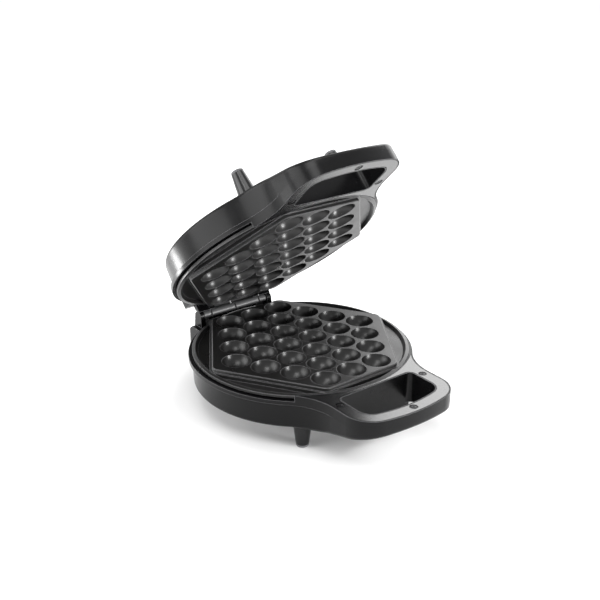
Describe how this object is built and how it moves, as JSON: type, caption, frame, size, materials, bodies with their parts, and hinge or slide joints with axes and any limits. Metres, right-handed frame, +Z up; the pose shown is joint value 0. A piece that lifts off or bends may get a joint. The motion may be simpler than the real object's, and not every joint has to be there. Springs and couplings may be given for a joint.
{
  "type": "bubble waffle maker",
  "caption": "Electric bubble waffle maker, open: hinged round base and lid with looped handles, cast plates with rows of half-ball cavities on a raised hexagon, tapered feet.",
  "frame": {"origin": "on the table, under the middle of the object as it stands with its lid open", "axes": "+Z up, -Y to the front where the handles are, +Y to the hinge, X across"},
  "size_m": [0.2186, 0.3136, 0.2704],
  "materials": {
    "shell_plastic": "black heat-resistant moulding, satin to glossy",
    "bezel_plastic": "flat black moulding with a soft sheen",
    "coated_aluminium": "cast, with a dark satin non-stick coating",
    "heater_steel": "drawn tube, heat tinted",
    "reflector_sheet": "bright aluminised sheet",
    "zinc_steel": "zinc plated",
    "black_screw_steel": "black plated",
    "hinge_steel": "black coated steel",
    "pin_steel": "ground rod",
    "foot_plastic": "glossy black moulding",
    "pad_rubber": "soft grey rubber",
    "gland_rubber": "black rubber",
    "phenolic": "brown moulding",
    "terminal_plastic": "off-white moulding",
    "fuse_sleeve": "off-white glass sleeve",
    "red_lens": "clear red",
    "green_lens": "clear green"
  },
  "bodies": {
    "base": {"base_shell": "shell_plastic", "base_bezel": "bezel_plastic", "base_bezel_screws": "black_screw_steel", "base_plate": "coated_aluminium", "base_plate_screws": "zinc_steel", "base_spacers": "zinc_steel", "base_heating_element": "heater_steel", "base_reflector": "reflector_sheet", "base_thermal_fuse": "fuse_sleeve", "base_feet": "foot_plastic", "base_foot_pads": "pad_rubber", "base_foot_screws": "zinc_steel", "base_hinge_leaf": "hinge_steel", "base_leaf_screws": "black_screw_steel", "hinge_pin": "pin_steel", "thermostat": "phenolic", "terminal_block": "terminal_plastic", "cord_gland": "gland_rubber"},
    "lid": {"lid_shell": "shell_plastic", "lid_bezel": "bezel_plastic", "lid_bezel_screws": "black_screw_steel", "lid_plate": "coated_aluminium", "lid_plate_screws": "zinc_steel", "lid_spacers": "zinc_steel", "lid_heating_element": "heater_steel", "lid_reflector": "reflector_sheet", "lid_thermal_fuse": "fuse_sleeve", "lid_feet": "foot_plastic", "lid_foot_pads": "pad_rubber", "lid_foot_screws": "zinc_steel", "lid_hinge_leaf": "hinge_steel", "lid_leaf_screws": "black_screw_steel", "power_lamp_lens": "red_lens", "ready_lamp_lens": "green_lens", "lamp_holder": "terminal_plastic"}
  },
  "joints": [
    {"name": "lid_hinge", "type": "hinge", "parent": "base", "child": "lid", "pos_m": [0, 0.1216, 0.0628], "axis": [-1, 0, 0], "range_deg": [-44.3, 57.7]}
  ]
}
